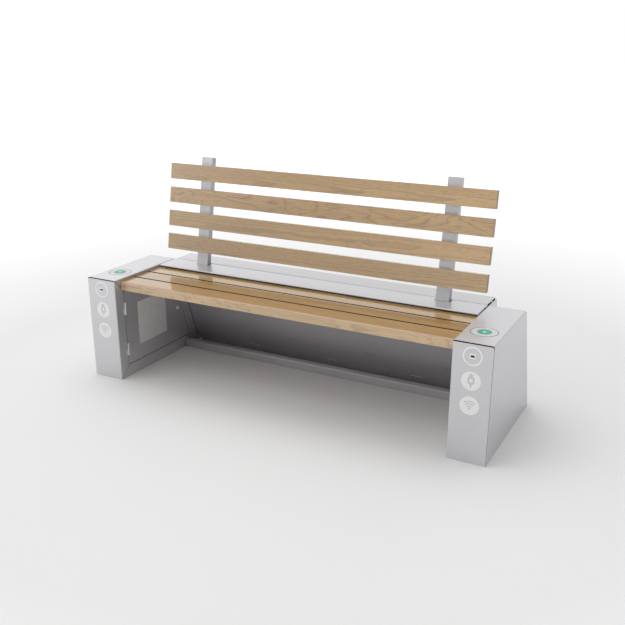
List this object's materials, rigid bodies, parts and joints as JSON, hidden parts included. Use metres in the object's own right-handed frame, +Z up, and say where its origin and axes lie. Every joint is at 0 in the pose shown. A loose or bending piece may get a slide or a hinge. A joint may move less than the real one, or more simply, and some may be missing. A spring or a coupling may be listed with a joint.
{
  "type": "solar charging bench",
  "caption": "Street bench with oak seat and back slats between sheet-steel end boxes that hold charging ports and pads, and a leaning rear box with a solar module.",
  "frame": {"origin": "on the ground, at the centre of the bench's footprint", "axes": "+X along the bench to the right end as seen by someone facing its front, +Y from the front to the back, +Z up"},
  "size_m": [1.81, 0.7116, 0.939],
  "materials": {
    "oak": "satin clear lacquer",
    "grey_paint": "satin silver grey powder coat",
    "galvanised": "zinc grey primer",
    "seal": "matte",
    "window_plate": "satin",
    "stainless": "satin",
    "pad_cover": "satin",
    "coil_case": "matte",
    "port": "satin",
    "electronics_case": "matte",
    "anodised": "anodised satin",
    "solar_glass": "clear glass over dark cells",
    "cable_jacket": "matte"
  },
  "bodies": {
    "frame": {"back_post_left": "grey_paint", "back_post_right": "grey_paint", "back_screws": "stainless", "back_slat_1": "oak", "back_slat_2": "oak", "back_slat_3": "oak", "back_slat_4": "oak", "base_rail": "grey_paint", "battery_pack": "electronics_case", "box_cheek_left": "grey_paint", "box_cheek_right": "grey_paint", "box_lid": "grey_paint", "box_panel": "grey_paint", "box_ribs": "galvanised", "cable_run": "cable_jacket", "charge_controller": "electronics_case", "charging_coil_left": "coil_case", "charging_coil_right": "coil_case", "charging_pad_left": "pad_cover", "charging_pad_right": "pad_cover", "frame_bolts": "stainless", "frame_hinges": "stainless", "modem": "electronics_case", "pod_back_left": "grey_paint", "pod_back_right": "grey_paint", "pod_base_left": "galvanised", "pod_base_right": "galvanised", "pod_front_left": "grey_paint", "pod_front_right": "grey_paint", "pod_rivets": "stainless", "pod_seal_left": "seal", "pod_seal_right": "seal", "pod_wrap_left": "grey_paint", "pod_wrap_right": "grey_paint", "rail_anchors": "stainless", "seat_bearer_left": "galvanised", "seat_bearer_right": "galvanised", "seat_screws": "stainless", "seat_slat_1": "oak", "seat_slat_2": "oak", "seat_slat_3": "oak", "shelf": "grey_paint", "solar_frame": "anodised", "solar_junction": "electronics_case", "solar_laminate": "solar_glass", "usb_module_left": "port", "usb_module_right": "port"},
    "door_left": {"door_hinges_left": "stainless", "door_window_left": "window_plate", "service_door_left": "grey_paint", "window_screws_left": "stainless"},
    "door_right": {"door_hinges_right": "stainless", "door_window_right": "window_plate", "service_door_right": "grey_paint", "window_screws_right": "stainless"},
    "lock_left": {"lock_cam_left": "stainless", "lock_plug_left": "stainless"},
    "lock_right": {"lock_cam_right": "stainless", "lock_plug_right": "stainless"}
  },
  "joints": [
    {"name": "door_hinge_left", "type": "hinge", "parent": "frame", "child": "door_left", "pos_m": [-0.753, -0.3002, 0.225], "axis": [0, 0, -1], "range_deg": [0, 110]},
    {"name": "lock_turn_left", "type": "hinge", "parent": "door_left", "child": "lock_left", "pos_m": [-0.757, 0.0733, 0.215], "axis": [1, 0, 0], "range_deg": [0, 90]},
    {"name": "door_hinge_right", "type": "hinge", "parent": "frame", "child": "door_right", "pos_m": [0.753, -0.3002, 0.225], "axis": [0, 0, 1], "range_deg": [0, 110]},
    {"name": "lock_turn_right", "type": "hinge", "parent": "door_right", "child": "lock_right", "pos_m": [0.757, 0.0733, 0.215], "axis": [1, 0, 0], "range_deg": [0, 90]}
  ]
}
